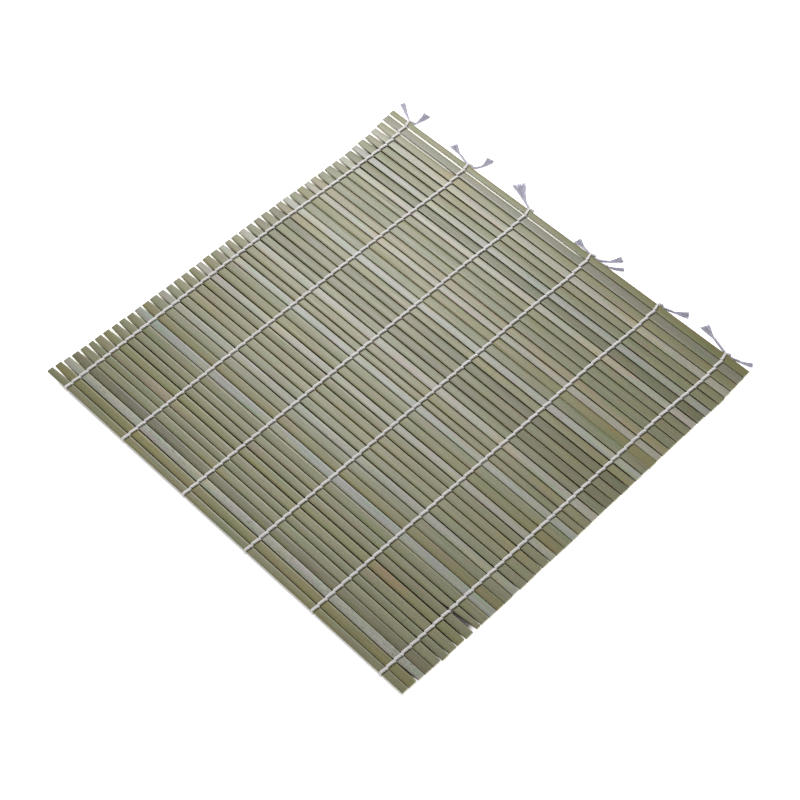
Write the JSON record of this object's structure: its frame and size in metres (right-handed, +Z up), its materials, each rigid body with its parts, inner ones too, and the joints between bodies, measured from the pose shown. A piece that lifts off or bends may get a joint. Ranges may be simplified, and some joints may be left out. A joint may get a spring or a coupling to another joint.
{
  "type": "sushi rolling mat",
  "caption": "Square mat of flat green bamboo slats twined together with cotton cords, lying flat, with knots and frayed cord ends along one edge.",
  "frame": {"origin": "middle of the mat's footprint, frayed ends included, on the surface it lies on", "axes": "+X along the slats, +Y across them towards the edge with the knots, +Z up from the underside to the working face"},
  "size_m": [0.2446, 0.2482, 0.004],
  "materials": {
    "green_bamboo": "satin, bare split bamboo with a waxy skin",
    "pale_bamboo": "satin, bare split bamboo with a waxy skin",
    "olive_bamboo": "satin, bare split bamboo with a waxy skin",
    "tan_bamboo": "satin, bare split bamboo with a waxy skin",
    "grey_bamboo": "satin, bare split bamboo with a waxy skin",
    "dark_bamboo": "satin, bare split bamboo with a waxy skin",
    "cotton_twine": "matt, undyed twisted cotton"
  },
  "bodies": {
    "root": {"slat_01": "olive_bamboo", "slat_02": "grey_bamboo", "slat_03": "green_bamboo", "slat_04": "pale_bamboo", "slat_05": "green_bamboo", "slat_06": "green_bamboo", "slat_07": "pale_bamboo", "slat_08": "dark_bamboo", "slat_09": "pale_bamboo", "slat_10": "green_bamboo", "slat_11": "green_bamboo", "slat_12": "green_bamboo", "slat_13": "tan_bamboo", "slat_14": "pale_bamboo", "slat_15": "olive_bamboo", "slat_16": "green_bamboo", "slat_17": "pale_bamboo", "slat_18": "green_bamboo", "slat_19": "dark_bamboo", "slat_20": "green_bamboo", "slat_21": "dark_bamboo", "slat_22": "green_bamboo", "slat_23": "pale_bamboo", "slat_24": "green_bamboo", "slat_25": "green_bamboo", "slat_26": "pale_bamboo", "slat_27": "green_bamboo", "slat_28": "olive_bamboo", "slat_29": "pale_bamboo", "slat_30": "green_bamboo", "slat_31": "green_bamboo", "slat_32": "green_bamboo", "slat_33": "green_bamboo", "slat_34": "pale_bamboo", "slat_35": "green_bamboo", "slat_36": "olive_bamboo", "slat_37": "pale_bamboo", "slat_38": "green_bamboo", "slat_39": "green_bamboo", "slat_40": "green_bamboo", "slat_41": "olive_bamboo", "slat_42": "green_bamboo", "slat_43": "green_bamboo", "slat_44": "green_bamboo", "slat_45": "dark_bamboo", "slat_46": "pale_bamboo", "slat_47": "olive_bamboo", "slat_48": "green_bamboo", "cord_1": "cotton_twine", "cord_2": "cotton_twine", "cord_3": "cotton_twine", "cord_4": "cotton_twine", "cord_5": "cotton_twine", "cord_6": "cotton_twine", "tassel_1": "cotton_twine", "tassel_2": "cotton_twine", "tassel_3": "cotton_twine", "tassel_4": "cotton_twine", "tassel_5": "cotton_twine", "tassel_6": "cotton_twine"}
  },
  "joints": []
}
